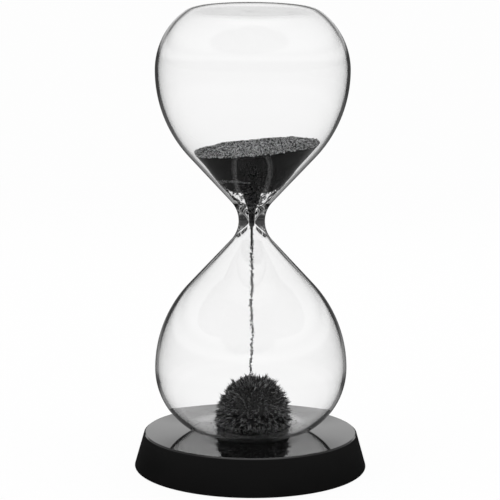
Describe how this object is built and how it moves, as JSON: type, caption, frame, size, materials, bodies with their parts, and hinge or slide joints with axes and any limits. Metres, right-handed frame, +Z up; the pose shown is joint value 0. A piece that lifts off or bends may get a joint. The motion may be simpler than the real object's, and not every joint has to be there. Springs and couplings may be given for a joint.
{
  "type": "magnetic hourglass",
  "caption": "Blown glass hourglass filled with iron filings, standing free on a low black tapered base with a hidden magnet that gathers the falling filings into a spiky heap.",
  "frame": {"origin": "on the axis of the base and the glass, on the table that the pad rests on", "axes": "+Z up along the axis of the glass, -Y towards the viewer of the picture, +X to the viewer's right"},
  "size_m": [0.08, 0.08, 0.1562],
  "materials": {
    "base_gloss": "polished black deck, satin black side",
    "magnet_plating": "plain nickel plating",
    "foam": "fine closed-cell foam",
    "cover_plastic": "fine moulded grain",
    "screw_steel": "zinc plated",
    "pad_felt": "short black felt",
    "clear_glass": "clear, polished",
    "filings": "loose dark grains with bright flecks"
  },
  "bodies": {
    "base": {"base_body": "base_gloss", "magnet": "magnet_plating", "magnet_foam": "foam", "base_cover": "cover_plastic", "cover_screws": "screw_steel", "base_pad": "pad_felt"},
    "heap": {"filings_heap": "filings"},
    "grains": {"upper_filings": "filings", "falling_stream": "filings"},
    "glass": {"glass_vessel": "clear_glass"}
  },
  "joints": [
    {"name": "glass_lift", "type": "slide", "parent": "base", "child": "heap", "axis": [0, 0, 1], "range_m": [0, 0.1]},
    {"name": "glass_spin", "type": "hinge", "parent": "heap", "child": "grains", "pos_m": [0, 0, 0.0134], "axis": [0, 0, 1], "continuous": true},
    {"name": "glass_turnover", "type": "hinge", "parent": "grains", "child": "glass", "pos_m": [0, 0, 0.0848], "axis": [0, 1, 0], "range_deg": [0, 180], "deforming": ["upper_filings", "falling_stream", "filings_heap"]}
  ],
  "couplings": [
    {"joint": "glass_turnover", "follows": "glass_lift", "rad_per_m": 31.416}
  ]
}
